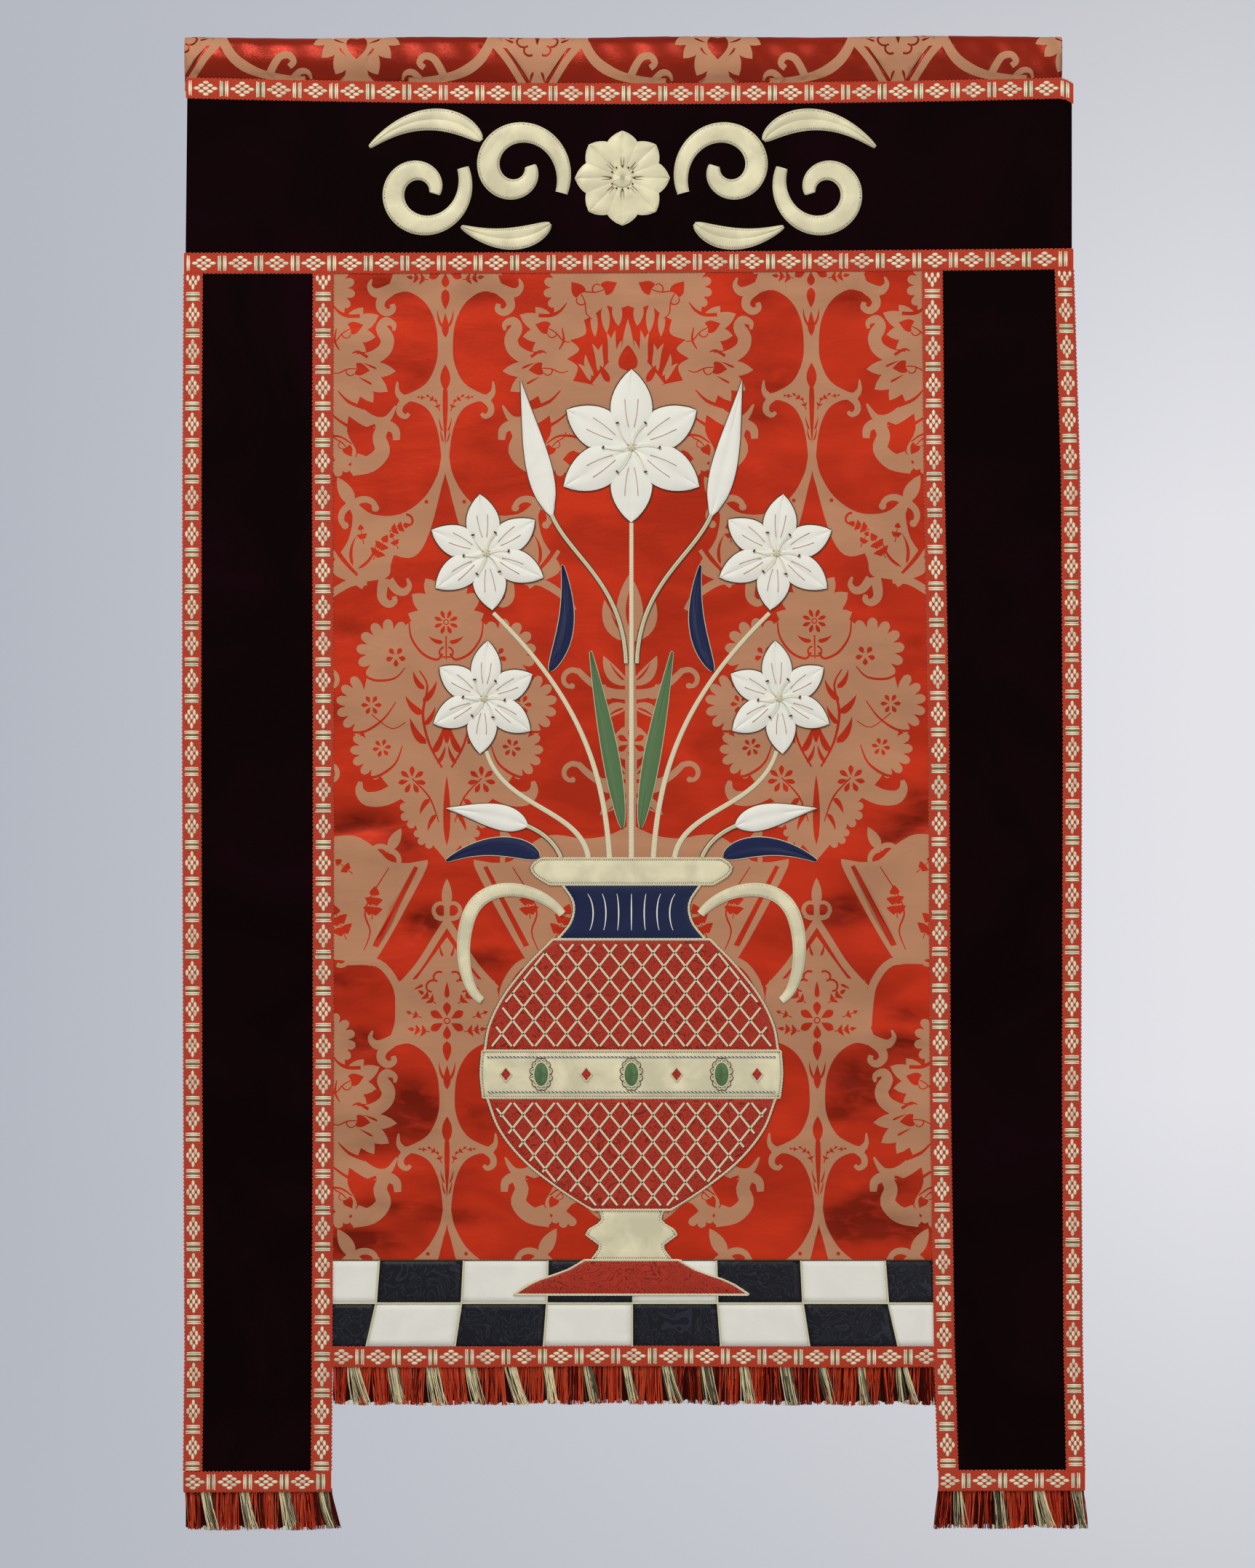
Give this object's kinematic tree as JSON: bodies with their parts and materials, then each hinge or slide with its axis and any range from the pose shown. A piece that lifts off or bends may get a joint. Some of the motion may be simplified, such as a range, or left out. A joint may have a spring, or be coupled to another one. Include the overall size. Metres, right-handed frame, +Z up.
{
  "type": "church banner",
  "caption": "Hanging processional banner: velvet heading and side lappets, damask centre panel, woven braid edging, cut fringe, and an open pole sleeve along the top",
  "frame": {"origin": "middle of the pole sleeve's top edge", "axes": "+Z up, +X to the viewer's right, the front faces -Y"},
  "size_m": [1.1579, 0.0367, 1.9124],
  "materials": {
    "vermilion_damask": "satin damask in vermilion with a fawn figure",
    "black_velvet": "short-pile cotton velvet, near black",
    "woven_braid": "ribbed woven braid, red ground with a cream figure",
    "fringe_yarn": "cut silky yarn, red with gold bunches",
    "chequer_silk": "silk patches, ivory and black",
    "gold_cream_silk": "gold-cream silk with couched cord edges",
    "ivory_silk": "ivory silk with fine brown outlines",
    "red_brocade": "dark red tone-on-tone brocade under a laid gold trellis",
    "navy_silk": "plain navy silk",
    "green_satin": "padded green satin stitch"
  },
  "bodies": {
    "root": {"pole_sleeve": "vermilion_damask", "heading": "black_velvet", "centre_panel": "vermilion_damask", "lappet_left": "black_velvet", "lappet_right": "black_velvet", "chequer_band": "chequer_silk", "braid_top": "woven_braid", "braid_heading_foot": "woven_braid", "braid_left_outer": "woven_braid", "braid_left_inner": "woven_braid", "braid_left_foot": "woven_braid", "braid_right_outer": "woven_braid", "braid_right_inner": "woven_braid", "braid_right_foot": "woven_braid", "braid_centre_foot": "woven_braid", "fringe_centre": "fringe_yarn", "fringe_left": "fringe_yarn", "fringe_right": "fringe_yarn", "heading_rosette": "gold_cream_silk", "heading_scroll_left_inner": "gold_cream_silk", "heading_scroll_left_outer": "gold_cream_silk", "heading_scroll_right_inner": "gold_cream_silk", "heading_scroll_right_outer": "gold_cream_silk", "heading_leaf_left_high": "gold_cream_silk", "heading_leaf_left_low": "gold_cream_silk", "heading_leaf_right_high": "gold_cream_silk", "heading_leaf_right_low": "gold_cream_silk", "vase_rim": "gold_cream_silk", "vase_neck": "navy_silk", "vase_shoulder": "red_brocade", "vase_belly_band": "gold_cream_silk", "vase_bowl": "red_brocade", "vase_knop": "gold_cream_silk", "vase_foot": "red_brocade", "vase_handle_left": "gold_cream_silk", "vase_handle_right": "gold_cream_silk", "jewel_1": "green_satin", "jewel_2": "green_satin", "jewel_3": "green_satin", "lily_centre": "ivory_silk", "lily_left_high": "ivory_silk", "lily_right_high": "ivory_silk", "lily_left_low": "ivory_silk", "lily_right_low": "ivory_silk", "bud_left_high": "ivory_silk", "bud_right_high": "ivory_silk", "bud_left_side": "ivory_silk", "bud_right_side": "ivory_silk", "stem_centre": "gold_cream_silk", "stem_left_high": "gold_cream_silk", "stem_right_high": "gold_cream_silk", "stem_left_low": "gold_cream_silk", "stem_right_low": "gold_cream_silk", "leaf_left_low": "green_satin", "leaf_right_low": "green_satin", "leaf_left_high": "navy_silk", "leaf_right_high": "navy_silk", "leaf_left_side": "navy_silk", "leaf_right_side": "navy_silk"}
  },
  "joints": []
}
